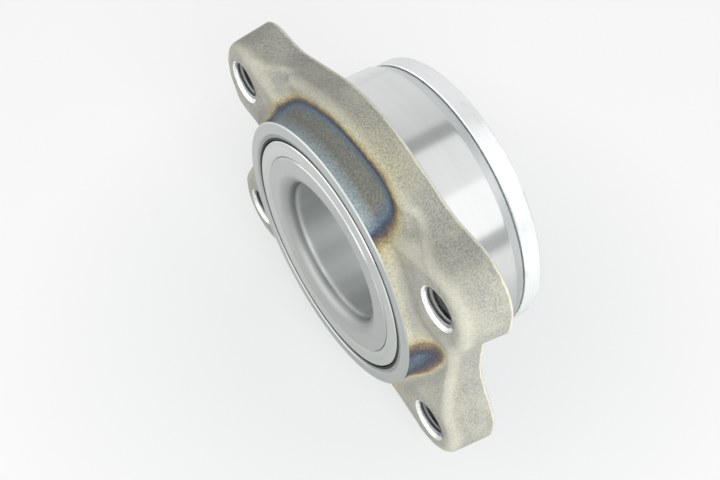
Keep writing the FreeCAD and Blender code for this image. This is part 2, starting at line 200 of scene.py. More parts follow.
class HeatTint(bpy.types.PropertyGroup):
    """Oxide colours where the races were hardened, beside the collar."""
    long_reach: length("Long patch", "How far the long patch reaches out from the collar", 6.9 * MM)
    long_half: length("Long patch, even part", "Half the length of its even part", 20 * MM)
    long_shift: length("Long patch, shift", "How far it sits from the crown's middle", 1 * MM)
    long_tilt: amount("Long patch, tilt", "How much further it reaches at one end", 0.062)
    right_end: length("Long patch, near end", "Length of its blunt end", 10.5 * MM)
    left_end: length("Long patch, far end", "Length of its slender end", 15 * MM)
    short_reach: length("Short patch", "How far the short patch reaches out", 4.1 * MM)
    short_half: length("Short patch, even part", "Half the length of its even part", 5 * MM)
    short_end: length("Short patch, ends", "Length of each of its ends", 5.5 * MM)
    short_shift: length("Short patch, shift", "How far it sits from the ears' middle", 4.5 * MM)
    short_tilt: amount("Short patch, tilt", "How much further it reaches at one end", 0.3)
    strip: length("Strip", "Width of the straw strip between the patches", 2.2 * MM)
    olive: colour("Hottest", "Grey scale in the middle", (0.15, 0.153, 0.13))
    sky: colour("Light blue", "Beside the collar", (0.32, 0.39, 0.41))
    steel_blue: colour("Steel blue", "Inside the dark border", (0.10, 0.14, 0.18))
    dark_blue: colour("Dark blue", "Border of a patch", (0.04, 0.055, 0.085))
    purple: colour("Purple", "Thin line round the border", (0.10, 0.08, 0.08))
    brown: colour("Brown", "Outside the border", (0.22, 0.165, 0.095))
    gold: colour("Gold", "Inner part of the halo", (0.38, 0.32, 0.18))
    straw: colour("Straw", "Outer part of the halo", (0.46, 0.43, 0.29))


class StageSettings(bpy.types.PropertyGroup):
    """Floor, lamps and camera."""
    camera_place: place("Camera", "Where the camera stands", (0.1673, -0.1100, 0.2560))
    camera_aim: place("Aim", "The point that the camera looks at", (0.00264, -0.00742, 0.00278))
    camera_roll: angle("Roll", "Roll of the camera", -1.69)
    lens: FloatProperty(name="Lens", description="Focal length on a 36 mm sensor", default=52.9,
                        unit="CAMERA")
    floor_colour: colour("Floor", "Pale floor", (0.97, 0.97, 0.97))
    floor_glow: amount("Floor glow", "Share of the floor's shadow that is washed out", 0.75)
    key_place: place("Key lamp's place", "On the right of the camera", (0.82, -0.25, 0.50))
    key_size: length("Key lamp's size", "Side of the square lamp", 0.6)
    key_power: power("Key lamp", "Soft lamp on the right", 10.5)
    front_place: place("Front lamp's place", "Low in front of the unit", (-0.45, -0.89, 0.08))
    front_size: length("Front lamp's size", "Side of the square lamp", 2.2)
    front_power: power("Front lamp", "Large soft lamp in front", 9.0)
    sky: amount("Sky", "Strength of the light from all round", 0.28)
    mirrored: amount("Mirrored studio", "Strength of the bands that the metal mirrors", 1.3)


def ramp(value):
    """Smooth step from 0 to 1."""
    value = np.clip(value, 0, 1)
    return value * value * (3 - 2 * value)


def flat(x, z):
    """Array of pairs from two arrays or numbers."""
    return np.stack(np.broadcast_arrays(x, z), axis=-1)


def rounded_outline(corners, spacing):
    """Points along a closed outline and the way inwards at each, from the middle of its first arc."""
    points = np.array([(x, z) for x, z, _ in corners])
    arcs = []
    for index, (x, z, radius) in enumerate(corners):
        corner = points[index]
        back = points[index - 1] - corner
        ahead = points[(index + 1) % len(points)] - corner
        back /= np.linalg.norm(back)
        ahead /= np.linalg.norm(ahead)
        half = math.acos(np.dot(back, ahead)) / 2
        run = radius / math.tan(half)
        middle = corner + (back + ahead) / np.linalg.norm(back + ahead) * radius / math.sin(half)
        arcs.append((corner + back * run, corner + ahead * run, middle, math.pi - 2 * half))
    places = []
    inwards = []
    for index, (start, end, middle, turn) in enumerate(arcs):
        radius = np.linalg.norm(start - middle)
        steps = 2 * math.ceil(radius * turn / spacing / 2)
        spoke = start - middle
        convex = 1 if spoke[0] * (end - middle)[1] < spoke[1] * (end - middle)[0] else -1
        angles = math.atan2(spoke[1], spoke[0]) - convex * turn * np.arange(steps) / steps
        spokes = flat(np.cos(angles), np.sin(angles))
        places.append(middle + spokes * radius)
        inwards.append(-convex * spokes)
        if index == 0:
            half_of_first = steps // 2
        following = arcs[(index + 1) % len(arcs)][0]
        run = following - end
        distance = np.linalg.norm(run)
        steps = 2 * math.ceil(distance / spacing / 2)
        places.append(end + run * (np.arange(steps) / steps)[:, None])
        inwards.append(np.tile((run[1] / distance, -run[0] / distance), (steps, 1)))
    places = np.concatenate(places)
    inwards = np.concatenate(inwards)
    return np.roll(places, -half_of_first, axis=0), np.roll(inwards, -half_of_first, axis=0)


def flange_outline(flange, spacing):
    """Outline of the flange at the mounting face, clockwise from the top seen from the front."""
    quarter = [
        (flange.crown_foot_x, flange.ear_reach_z, flange.crown_foot_radius),
        (flange.ear_reach_x, flange.ear_reach_z, flange.ear_corner_radius),
        (flange.ear_reach_x, flange.ear_shoulder_z, flange.ear_shoulder_radius),
        (flange.waist_x, flange.waist_half_width, flange.waist_radius),
    ]
    right = quarter + [(x, -z, radius) for x, z, radius in reversed(quarter)]
    left = [(-x, -z, radius) for x, z, radius in right]
    top = (0, flange.crown_peak_z, flange.crown_radius)
    bottom = (0, -flange.crown_peak_z, flange.crown_radius)
    return rounded_outline([top] + right + [bottom] + left, spacing)


def hollow_depth(flange, places):
    """Depth of the hollows between the ears, behind the ears' front faces."""
    x, z = np.abs(places[..., 0]), np.abs(places[..., 1])
    slope = flange.top_hollow_slope
    past_ear = (z - flange.top_hollow_z) * math.cos(slope) - x * math.sin(slope)
    top = ramp(past_ear / flange.top_hollow_wall)
    side = 1 - ramp(z / flange.side_hollow)
    return (flange.ear_thickness - flange.rim_thickness) * (1 - (1 - top) * (1 - side))


def front_height(flange, turned, places):
    """Height of the forged front above the mounting face."""
    collar_length = -RING_LOW.y
    out = np.linalg.norm(places, axis=-1) - turned.collar_radius
    in_cove = np.clip(out, 0, flange.cove_radius)
    drop = np.sqrt(flange.cove_radius ** 2 - (flange.cove_radius - in_cove) ** 2)
    cove = drop + out - in_cove
    depth = collar_length - flange.ear_thickness + hollow_depth(flange, places)
    blend = min(2 * flange.blend, collar_length - flange.ear_thickness)
    share = np.clip(0.5 + (cove - depth) / (2 * blend), 0, 1)
    lesser = cove + (depth - cove) * share - blend * share * (1 - share)
    return np.minimum(collar_length - lesser, collar_length - turned.collar_chamfer)


def edge_rounding(flange, turned, places, inwards):
    """Arcs that round the forged edge: distance inwards, height and front slope of each centre."""
    settle_steps = 60
    step = 0.01 * MM
    distance = np.full(len(places), flange.edge_radius)
    for _ in range(settle_steps):
        here = front_height(flange, turned, places + inwards * distance[:, None])
        beside = front_height(flange, turned, places + inwards * (distance + step)[:, None])
        slope = np.arctan((beside - here) / step)
        height = here - flange.edge_radius / np.cos(slope)
        distance = height * math.tan(flange.draft) + flange.edge_radius / math.cos(flange.draft)
    return distance, height, slope


def evenly(paths, count):
    """Evenly spaced points along each path of straight steps."""
    runs = np.linalg.norm(np.diff(paths, axis=1), axis=2)
    reached = np.concatenate([np.zeros((len(paths), 1)), np.cumsum(runs, axis=1)], axis=1)
    even = np.empty((len(paths), count, 3))
    for number, path in enumerate(paths):
        goals = np.linspace(0, reached[number, -1], count)
        for axis in range(3):
            even[number, :, axis] = np.interp(goals, reached[number], path[:, axis])
    return even


def forged_skin(flange, turned, spacing):
    """Columns of points from the collar over the forged front and edge down to the back edge."""
    front_steps = 90
    edge_steps = 16
    places, inwards = flange_outline(flange, spacing)
    count = len(places)
    distance, height, slope = edge_rounding(flange, turned, places, inwards)
    crest = places + inwards * (distance - flange.edge_radius * np.sin(slope))[:, None]
    angles = math.pi / 2 - 2 * math.pi * np.arange(count) / count
    rays = flat(np.cos(angles), np.sin(angles))
    foot = rays * turned.collar_radius
    paths = []
    for step in range(front_steps):
        at = foot + (crest - foot) * (step / front_steps) ** 2
        paths.append((at, front_height(flange, turned, at)))
    turn_from = math.pi / 2 - slope
    for step in range(edge_steps + 1):
        turn = turn_from + (flange.draft - turn_from) * step / edge_steps
        inset = distance - flange.edge_radius * np.cos(turn)
        paths.append((places + inwards * inset[:, None], height + flange.edge_radius * np.sin(turn)))
    lean = flange.back_bevel * math.tan(flange.draft)
    paths.append((places + inwards * lean, np.full(count, flange.back_bevel)))
    skin = np.stack([np.column_stack([at[:, 0], -high, at[:, 1]]) for at, high in paths], axis=1)
    longest = np.linalg.norm(np.diff(skin, axis=1), axis=2).sum(axis=1).max()
    facing_edge = places + inwards * (lean + flange.back_bevel)
    back_edge = np.column_stack([facing_edge[:, 0], np.zeros(count), facing_edge[:, 1]])
    return evenly(skin, math.ceil(longest / spacing)), back_edge, rays


def ridges(flange, turned, skin):
    """How the forged skin bends at each point: up to 1 on ridges, down to -1 in hollows."""
    step = 1 * MM
    sharpest = 0.2 / MM
    clear_of_front = 0.05 * MM
    smoothings = 12
    places = skin[..., (0, 2)]
    height = front_height(flange, turned, places)
    beside = [front_height(flange, turned, places + np.array(shift) * step)
              for shift in ((1, 0), (-1, 0), (0, 1), (0, -1))]
    bend = (4 * height - sum(beside)) / step ** 2
    on_edge = np.abs(-skin[..., 1] - height) > clear_of_front
    runs = np.diff(skin, axis=1)
    runs /= np.linalg.norm(runs, axis=2, keepdims=True)
    turns = np.linalg.norm(np.diff(runs, axis=1), axis=2)
    spacing = np.linalg.norm(skin[:, 1] - skin[:, 0], axis=1)
    edge_bend = np.pad(turns, ((0, 0), (1, 1))) / spacing[:, None]
    bends = np.clip(np.where(on_edge, edge_bend, bend) / sharpest, -1, 1)
    for _ in range(smoothings):
        bends = (np.roll(bends, 1, axis=0) + 2 * bends + np.roll(bends, -1, axis=0)) / 4
        padded = np.pad(bends, ((0, 0), (1, 1)), mode="edge")
        bends = (padded[:, :-2] + 2 * bends + padded[:, 2:]) / 4
    return bends


def finely(steps, spacing):
    """Points of a turned section (radius, y, finish) with long straight runs divided."""
    fine = []
    for (radius, y, finish), (next_radius, next_y, _) in zip(steps, steps[1:]):
        distance = math.hypot(next_radius - radius, next_y - y)
        count = max(1, math.ceil(distance / spacing))
        for step in range(count):
            share = step / count
            fine.append((radius + (next_radius - radius) * share, y + (next_y - y) * share, finish))
    return fine + [steps[-1]]


def race_steps(turned, side, middle):
    """Section of one race, from its land outwards to the foot of the seal seat."""
    arc_steps = 16
    land_turn = -math.acos((turned.land_radius - turned.pitch_radius) / turned.race_radius)
    turns = [land_turn * (1 - step / arc_steps) for step in range(arc_steps + 1)]
    return [(turned.pitch_radius + turned.race_radius * math.cos(turn),
             middle + side * (turned.row_offset + turned.race_radius * math.sin(turn)), "ground")
            for turn in turns]


def ring_bore(turned):
    """Section inside the outer ring, from its rear face forwards to its front face."""
    front, rear = RING_LOW.y, RING_HIGH.y
    middle = (front + rear) / 2
    race_top = turned.pitch_radius + turned.race_radius
    mouth = turned.seat_radius + turned.edge_break
    inboard = [
        (mouth, rear, "turned"),
        (turned.seat_radius, rear - turned.edge_break, "ground"),
        (turned.seat_radius, rear - turned.seat_depth, "turned"),
        (race_top, rear - turned.seat_depth, "ground"),
    ]
    outboard = [
        (race_top, front + turned.seat_depth, "turned"),
        (turned.seat_radius, front + turned.seat_depth, "ground"),
        (turned.seat_radius, front + turned.edge_break, "turned"),
        (mouth, front, "turned"),
    ]
    races = race_steps(turned, 1, middle)[::-1] + race_steps(turned, -1, middle)
    return inboard + races + outboard


def ring_back(turned):
    """Section of the turned outside, from the relief beside the mounting face to the rear face."""
    pilot_radius = MOUNTS["pilot"]["dims"]["r_mm"] * MM
    pilot_end = turned.pilot_length + turned.lead_in_length
    spigot_start = pilot_end + turned.gap_width
    return [
        (pilot_radius + turned.relief_depth, 0, "turned"),
        (pilot_radius + turned.relief_depth, -turned.relief_face, "turned"),
        (pilot_radius - turned.relief_depth, -turned.relief_face, "turned"),
        (pilot_radius - turned.relief_depth, turned.relief_width, "turned"),
        (pilot_radius, turned.relief_width, "ground"),
        (pilot_radius, turned.pilot_length, "turned"),
        (turned.lead_in_radius, pilot_end, "turned"),
        (turned.gap_radius, pilot_end, "turned"),
        (turned.gap_radius, spigot_start, "turned"),
        (turned.spigot_radius, spigot_start, "turned"),
        (turned.spigot_radius, RING_HIGH.y, "turned"),
    ]


def around(section, rays):
    """Columns of points of a turned section, one for each ray from the axis."""
    radii, heights, _ = (np.array(values) for values in zip(*section))
    return np.stack([rays[:, :1] * radii, np.broadcast_to(heights, (len(rays), len(radii))),
                     rays[:, 1:] * radii], axis=-1)


def add_object(name, data):
    """A new object in the scene."""
    thing = bpy.data.objects.new(name, data)
    bpy.context.scene.collection.objects.link(thing)
    return thing


def add_mesh(name, points, faces, materials, kinds=None):
    """Smooth mesh object whose kinds, where given, number each face's material."""
    mesh = bpy.data.meshes.new(name)
    mesh.from_pydata(np.reshape(points, (-1, 3)).tolist(), [], faces)
    for material in materials:
        mesh.materials.append(material)
    if kinds is not None:
        mesh.polygons.foreach_set("material_index", kinds)
    mesh.polygons.foreach_set("use_smooth", np.ones(len(faces), dtype=bool))
    mesh.update()
    return add_object(name, mesh)


def grid_faces(columns, rows, columns_close, rows_close):
    """Quads of a grid whose columns and rows close into rings where asked."""
    index = np.arange(columns * rows).reshape(columns, rows)
    if columns_close:
        index = np.concatenate([index, index[:1]])
    if rows_close:
        index = np.concatenate([index, index[:, :1]], axis=1)
    corners = [index[:-1, :-1], index[:-1, 1:], index[1:, 1:], index[1:, :-1]]
    return np.stack(corners, axis=-1).reshape(-1, 4).tolist()


def bolt_places():
    """The four bolt holes' centres."""
    x = BOLTS["spacing_x_mm"] * MM / 2
    z = BOLTS["spacing_y_mm"] * MM / 2
    return [(-x, z), (x, z), (x, -z), (-x, -z)]


def mouth_steepness(holes):
    """How much a countersink widens over its depth."""
    return (holes.mouth_radius - HOLE_RADIUS) / holes.mouth_depth


def hole_cutter(name, x, z, material):
    """Closed turned body that cuts one bolt hole with its countersink and exit chamfer."""
    scene = bpy.context.scene
    flange, holes, turns = scene.hub_flange, scene.hub_holes, scene.hub_mesh.turns
    past = 2 * MM
    section = [
        (holes.mouth_radius + past * mouth_steepness(holes), -flange.ear_thickness - past, "drilled"),
        (HOLE_RADIUS, -flange.ear_thickness + holes.mouth_depth, "drilled"),
        (HOLE_RADIUS, -holes.exit_chamfer, "drilled"),
        (HOLE_RADIUS + holes.exit_chamfer + past, past, "drilled"),
    ]
    angles = 2 * math.pi * np.arange(turns) / turns
    points = around(section, flat(np.cos(angles), np.sin(angles))) + np.array((x, 0, z))
    faces = grid_faces(turns, len(section), True, False)
    front = np.arange(turns) * len(section)
    rear = (front + len(section) - 1)[::-1]
    return add_mesh(name, points, faces + [front.tolist(), rear.tolist()], [material])


def cut_bolt_holes(ring, material):
    """Cuts the four bolt holes through the ears and gives them their finish."""
    cutters = []
    for number, (x, z) in enumerate(bolt_places(), 1):
        cut = ring.modifiers.new(f"bolt_hole_{number}", "BOOLEAN")
        cut.object = hole_cutter(f"bolt_hole_cutter_{number}", x, z, material)
        cut.operation = "DIFFERENCE"
        cut.solver = "EXACT"
        cut.material_mode = "TRANSFER"
        cutters.append(cut.object)
    depsgraph = bpy.context.evaluated_depsgraph_get()
    finished = bpy.data.meshes.new_from_object(ring.evaluated_get(depsgraph))
    ring.modifiers.clear()
    ring.data = finished
    for cutter in cutters:
        bpy.data.objects.remove(cutter)


def add_wander(ring, strays, flange):
    """Lets points of the forged skin stray a little from their true form."""
    ring.vertex_groups.new(name="forged").add(strays, 1.0, "REPLACE")
    clouds = bpy.data.textures.new("forged_wander", "CLOUDS")
    clouds.noise_scale = 4 * MM
    clouds.noise_depth = 2
    wander = ring.modifiers.new("wander", "DISPLACE")
    wander.texture = clouds
    wander.texture_coords = "LOCAL"
    wander.strength = flange.wander
    wander.vertex_group = "forged"


def build_outer_ring(finishes):
    """The outer ring: forged flange, turned collar, ground pilot, seal seats and races."""
    scene = bpy.context.scene
    flange, turned, spacing = scene.hub_flange, scene.hub_turned, scene.hub_mesh.spacing
    sharp_from = math.radians(28)
    skin, back_edge, rays = forged_skin(flange, turned, spacing)
    collar = turned.collar_radius - turned.collar_chamfer
    bore = finely(ring_bore(turned) + [(collar, RING_LOW.y, "turned")], spacing)
    back = finely(ring_back(turned), spacing)
    points = np.concatenate([around(bore, rays), skin, back_edge[:, None], around(back, rays)], axis=1)
    columns, rows = points.shape[:2]
    first = len(bore)
    last = first + skin.shape[1] - 1
    kinds = [kind for _, _, kind in bore] + ["forged"] * (last - first) + ["turned"] * 2
    kinds += [kind for _, _, kind in back]
    order = ["forged", "turned", "ground"]
    ring = add_mesh("outer_ring_dressed", points, grid_faces(columns, rows, True, True),
                    [finishes[kind] for kind in order],
                    np.tile([order.index(kind) for kind in kinds], columns))
    # The ridge attribute places the forged finish's painted highlight on ridges and painted shade in
    # hollows.
    bends = np.zeros((columns, rows))
    bends[:, first:last] = ridges(flange, turned, skin)[:, :-1]
    ring.data.attributes.new("ridge", "FLOAT", "POINT").data.foreach_set("value", bends.reshape(-1))
    strays = np.arange(columns * rows).reshape(columns, rows)[:, first + 2:last - 3]
    add_wander(ring, strays.reshape(-1).tolist(), flange)
    cut_bolt_holes(ring, finishes["drilled"])
    ring.data.polygons.foreach_set("use_smooth", np.ones(len(ring.data.polygons), dtype=bool))
    ring.data.set_sharp_from_angle(angle=sharp_from)
    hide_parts("outer_ring")
    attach(ring, "outer")


def build_thread(name, x, z, material):
    """The ridge of one bolt hole's thread, a closed coil that runs out at both chamfers."""
    scene = bpy.context.scene
    flange, holes, turns = scene.hub_flange, scene.hub_holes, scene.hub_mesh.turns
    bite = 0.05 * MM
    sharp_from = math.radians(25)
    foot = HOLE_RADIUS + bite
    mouth = -flange.ear_thickness + holes.mouth_depth
    start, end = mouth - holes.root_width / 2, -holes.exit_chamfer / 2
    coil = np.arange(math.ceil((end - start) / holes.pitch * turns) + 1)
    angles = 2 * math.pi * coil[:, None] / turns
    widths = np.array([-holes.root_width, -holes.crest_width, holes.crest_width, holes.root_width])
    at_crest = np.array([False, True, True, False])
    y = start + holes.pitch * coil[:, None] / turns + widths / 2
    chamfers = np.maximum(foot - (y - mouth) * mouth_steepness(holes), foot + y + holes.exit_chamfer)
    radii = np.where(at_crest, np.clip(chamfers, holes.crest_radius, foot), np.maximum(chamfers, foot))
    points = np.stack([x + np.cos(angles) * radii, y, z + np.sin(angles) * radii], axis=-1)
    faces = [[a, d, c, b] for a, b, c, d in grid_faces(len(coil), len(widths), False, True)]
    front = list(range(len(widths)))
    rear = [corner + (len(coil) - 1) * len(widths) for corner in reversed(front)]
    thread = add_mesh(name, points, faces + [front, rear], [material])
    thread.data.set_sharp_from_angle(angle=sharp_from)
    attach(thread, "outer")


class Value:
    """A node's output that is reckoned with like a plain number."""

    def __init__(self, graph, socket):
        self.graph = graph
        self.socket = socket

    def __add__(self, other):
        return self.graph.math("ADD", self, other)

    def __sub__(self, other):
        return self.graph.math("SUBTRACT", self, other)

    def __rsub__(self, other):
        return self.graph.math("SUBTRACT", other, self)

    def __mul__(self, other):
        return self.graph.math("MULTIPLY", self, other)

    def __truediv__(self, other):
        return self.graph.math("DIVIDE", self, other)

    def __pow__(self, other):
        return self.graph.math("POWER", self, other)

    def __abs__(self):
        return self.graph.math("ABSOLUTE", self)

    def least(self, other):
        return self.graph.math("MINIMUM", self, other)

    def most(self, other):
        return self.graph.math("MAXIMUM", self, other)

    def fit(self, low, high, to_low=0.0, to_high=1.0):
        """Its range from low to high fitted to another, clamped."""
        return self.graph.node("ShaderNodeMapRange",
                               dict(enumerate((self, low, high, to_low, to_high))))


def hypotenuse(first, second):
    """Long side of a right-angled triangle from its two short sides."""
    return (first * first + second * second) ** 0.5


class Graph:
    """The nodes of a material or of the world: short calls add to them."""

    def __init__(self, tree):
        self.nodes = tree.nodes
        self.links = tree.links

    def put(self, value, socket):
        """Links a value to a socket, or sets a plain number or colour on it."""
        if isinstance(value, Value):
            self.links.new(value.socket, socket)
        else:
            socket.default_value = value

    def node(self, kind, inputs, output=0, **settings):
        """One output of a new node whose settings and inputs are given."""
        node = self.nodes.new(kind)
        for setting, value in settings.items():
            setattr(node, setting, value)
        for name, value in inputs.items():
            self.put(value, node.inputs[name])
        return Value(self, node.outputs[output])

    def math(self, operation, *values):
        """The result of a math node."""
        return self.node("ShaderNodeMath", dict(enumerate(values)), operation=operation)

    def parts(self, vector):
        """The three coordinates of a vector."""
        separate = self.node("ShaderNodeSeparateXYZ", {0: vector}).socket.node
        return [Value(self, output) for output in separate.outputs]

    def ray(self, kind):
        """1 for one kind of ray and 0 for the rest."""
        return self.node("ShaderNodeLightPath", {}, f"Is {kind} Ray")

    def mix(self, share, first, second, blend="MIX"):
        """A colour between two, or another blend of them."""
        shades = [shade if isinstance(shade, Value) else (*shade, 1.0) for shade in (first, second)]
        return self.node("ShaderNodeMix", {0: share, 6: shades[0], 7: shades[1]}, 2,
                         data_type="RGBA", blend_type=blend)

    def ramp(self, value, stops):
        """A colour from stops (position, colour)."""
        colour = self.node("ShaderNodeValToRGB", {0: value})
        elements = colour.socket.node.color_ramp.elements
        for element, (position, shade) in zip(elements, (stops[0], stops[-1])):
            element.position = position
            element.color = (*shade, 1.0)
        for position, shade in stops[1:-1]:
            elements.new(position).color = (*shade, 1.0)
        return colour


class Finish(Graph):
    """A procedural material in the making, with places and grains in millimetres."""

    def __init__(self, name, metallic, roughness):
        self.material = bpy.data.materials.new(name)
        self.material.use_nodes = True
        super().__init__(self.material.node_tree)
        self.shader = self.nodes["Principled BSDF"]
        self.shader.inputs["Metallic"].default_value = metallic
        self.shader.inputs["Roughness"].default_value = roughness
        self.place = self.node("ShaderNodeVectorMath",
                               {0: self.node("ShaderNodeTexCoord", {}, "Object"), "Scale": 1 / MM},
                               operation="SCALE")

    def noise(self, size, detail=3.0, roughness=0.55, vector=None):
        """Noise from 0 to 1 whose grain is about a size."""
        return self.node("ShaderNodeTexNoise",
                         {"Vector": self.place if vector is None else vector, "Scale": 1 / size,
                          "Detail": detail, "Roughness": roughness})

    def ring_noise(self, groove, drift, detail, roughness):
        """Noise in rings about the bearing axis that changes slowly on its way round."""
        x, y, z = self.parts(self.place)
        radius = hypotenuse(x, z)
        vector = self.node("ShaderNodeCombineXYZ",
                           {0: radius / groove, 1: y / groove, 2: x / radius / drift})
        return self.node("ShaderNodeTexNoise",
                         {"Vector": vector, "W": z / radius / drift, "Scale": 1.0,
                          "Detail": detail, "Roughness": roughness}, noise_dimensions="4D")

    def surface(self, colour, roughness, height, depth):
        """The material once its looks are linked, with a bump whose height of 1 is a depth."""
        bump = self.node("ShaderNodeBump",
                         {"Strength": 1.0, "Distance": depth * MM, "Height": height})
        for name, value in (("Base Color", colour), ("Roughness", roughness), ("Normal", bump)):
            self.put(value, self.shader.inputs[name])
        return self.material


def turned_finish(name, shade, darker, roughness, groove, depth):
    """Machined steel with rings of tool or grinding marks about the axis."""
    finish = Finish(name, 1.0, roughness)
    marks = finish.ring_noise(groove, 0.4, 4.0, 0.7)
    soft = finish.ring_noise(2.5, 1.2, 2.0, 0.5)
    colour = finish.mix(soft.fit(0.3, 0.7), np.multiply(shade, darker), shade)
    return finish.surface(colour, marks.fit(0.25, 0.75, roughness * 0.7, roughness * 1.4), marks, depth)


def tapped_finish(colours, flange, holes):
    """Bright countersinks over thread grooves painted dark as shade in the hole."""
    finish = Finish("tapped_steel", 0.7, 0.3)
    grains = finish.noise(0.3, 4.0, 0.6)
    y = finish.parts(finish.place)[1]
    foot = (holes.mouth_depth - flange.ear_thickness) / MM
    # Painted shade: past the countersink the hole's wall is near black.
    groove_shade = np.multiply(colours.turned, 0.15)
    colour = finish.mix(y.fit(foot - 0.1, foot + 0.3), colours.zinc, groove_shade)
    return finish.surface(colour, grains.fit(0.3, 0.7, 0.22, 0.4), grains, 0.004)


def bored_finish(colours):
    """Ground bearing steel whose bore is left a little duller than its faces, with painted shade on the
    rounded entry and a painted dark line of shade where the bore starts.
    """
    finish = Finish("ring_steel", 1.0, 0.2)
    marks = finish.ring_noise(0.06, 0.4, 4.0, 0.7)
    x, _, z = finish.parts(finish.place)
    past_bore = hypotenuse(x, z) - MOUNTS["bore"]["dims"]["r_mm"]
    # The corner colour is painted shade on the rounded entry and also the dark of the bore's streaks;
    # the darkest colour is a painted line of shade where the entry meets the bore.
    face, bored, corner, rim_shade = (np.multiply(colours.ground, share) for share in (0.86, 1.2, 0.5, 0.25))
    shade = finish.mix(past_bore.fit(0.2, 4.5), corner, face)
    shade = finish.mix(past_bore.fit(0.7, 1.6, 0.7, 0.0), shade, rim_shade)
    endlong = finish.node("ShaderNodeCombineXYZ", {"X": x, "Z": z})
    streaks = finish.noise(11.0, 0.0, vector=endlong).fit(0.40, 0.60, 0.65, 1.0)
    in_bore = past_bore.fit(0.1, 0.4, 1.0, 0.0)
    shade = finish.mix(in_bore, shade, finish.mix(streaks, corner, bored))
    turned_in = past_bore.fit(3.5, 5.0, 0.2, 0.0)
    return finish.surface(shade, turned_in + marks.fit(0.25, 0.75, 0.14, 0.28), marks, 0.0015)


def patch(along, out, half, near_end, far_end, tilt, reach):
    """How far a place is from a patch's middle: 1 on its border."""
    near = (along - half / MM) / (near_end / MM)
    far = (along * -1.0 - half / MM) / (far_end / MM)
    end = near.most(far).most(0.0) ** 0.5
    outward = (out - along * tilt).most(0.0) / (reach / MM)
    return (end ** 3.0 + outward ** 3.0) ** (1 / 3)


def heat_distance(finish, tint, turned):
    """Distance from the heat, 0 where hottest and 1 on the blue border, and nearness to the collar."""
    x, y, z = finish.parts(finish.place)
    radius = hypotenuse(x, z)
    out = radius - turned.collar_radius / MM
    from_edge = hypotenuse(out, y - RING_LOW.y / MM)
    from_top = finish.math("ARCTAN2", x * finish.math("SIGN", z), abs(z)) * radius
    from_side = finish.math("ARCTAN2", z * finish.math("SIGN", x), abs(x)) * radius
    long_patch = patch(from_top + tint.long_shift / MM, out, tint.long_half, tint.right_end,
                       tint.left_end, tint.long_tilt, tint.long_reach)
    short_patch = patch(from_side + tint.short_shift / MM, out, tint.short_half, tint.short_end,
                        tint.short_end, tint.short_tilt, tint.short_reach)
    mild = short_patch.fit(0.0, 1.0, 0.76, 1.0).most(short_patch)
    bearing = finish.math("ARCTAN2", abs(z), abs(x))
    in_strip = bearing.fit(0.15, 0.35) * bearing.fit(1.05, 0.85) * (x * z).fit(-60.0, 60.0)
    strip = from_edge / (tint.strip / MM) * 0.40 + 1.06 + (1.0 - in_strip)
    slow, fast = [(finish.noise(size, 2.0) - 0.5) * 0.14 for size in (3.0, 0.45)]
    by_collar = from_edge.fit(1.0, 4.5, 0.9, 0.0) * long_patch.fit(0.55, 0.85, 1.0, 0.0)
    return long_patch.least(mild).least(strip) + slow + fast, by_collar


def forged_finish(colours, tint, turned):
    """Shot-blasted forging with mottling, dents, small pits and heat tint beside the collar, with a
    painted highlight on its ridges and edges and painted shade in its hollows.
    """
    finish = Finish("forged_steel", 0.15, 0.5)
    lighter = np.multiply(colours.forged, (1.5, 1.47, 1.36))
    mottle = finish.noise(0.55, 5.0, 0.7)
    patches = finish.noise(7.0, 3.0, 0.5)
    ridge = finish.node("ShaderNodeAttribute", {}, "Fac", attribute_name="ridge")
    shade = finish.mix(mottle.fit(0.40, 0.60), colours.forged_dark, colours.forged)
    shade = finish.mix(patches.fit(0.42, 0.75, 0.0, 0.3), shade, lighter)
    # Painted highlight: ridges and the rounded front edge are lightened.
    shade = finish.mix(ridge.fit(0.05, 0.8, 0.0, 0.38), shade, lighter)
    # Painted shade: hollows are darkened towards the dark mottling colour.
    shade = finish.mix(ridge.fit(-0.05, -0.6, 0.0, 0.5), shade, colours.forged_dark)
    distance, by_collar = heat_distance(finish, tint, turned)
    furthest = 1.6
    tints = [(0.48, tint.olive), (0.74, tint.steel_blue), (0.86, tint.dark_blue), (0.94, tint.purple),
             (1.00, tint.brown), (1.07, tint.gold), (1.18, tint.straw)]
    tinted = finish.ramp(distance / furthest, [(reach / furthest, oxide) for reach, oxide in tints])
    tinted = finish.mix(by_collar, tinted, tint.sky)
    grainy = finish.mix(mottle.fit(0.36, 0.64), (0.66, 0.66, 0.66), (1.3, 1.3, 1.3))
    tinted = finish.mix(1.0, tinted, grainy, "MULTIPLY")
    shade = finish.mix(distance.fit(1.1, 1.45, 1.0, 0.0), shade, tinted)
    y = finish.parts(finish.place)[1]
    faced = (y + finish.noise(1.5)).fit(-0.45, -0.25)
    pits = finish.node("ShaderNodeTexVoronoi", {"Vector": finish.place, "Scale": 0.28}, feature="F1")
    dents, swells = finish.noise(0.5, 5.0, 0.6), finish.noise(2.2, 2.0, 0.5)
    return finish.surface(finish.mix(faced, shade, lighter), mottle.fit(0.3, 0.7, 0.62, 0.42),
                          dents + swells * 1.2 + pits.fit(0.02, 0.09, -0.8, 0.0), 0.11)


def plain_finish(name, shade, metallic, roughness, grain, depth):
    """A finish with fine grain in its colour, gloss and surface."""
    finish = Finish(name, metallic, roughness)
    grains = finish.noise(grain, 4.0, 0.6)
    colour = finish.mix(grains.fit(0.3, 0.7), np.multiply(shade, 0.8), shade)
    return finish.surface(colour, grains.fit(0.3, 0.7, roughness * 0.8, roughness * 1.25), grains, depth)


def zinc_finish(colours):
    """Bright zinc plate: near white, with soft brushed rings and faint stains."""
    finish = Finish("zinc_plate", 0.65, 0.3)
    marks = finish.ring_noise(0.15, 0.5, 3.0, 0.6)
    stains = finish.noise(6.0, 2.0, 0.5).fit(0.58, 0.8, 0.0, 0.5)
    colour = finish.mix(stains, colours.zinc, colours.zinc_stain)
    return finish.surface(colour, marks.fit(0.25, 0.75, 0.24, 0.38), marks, 0.002)


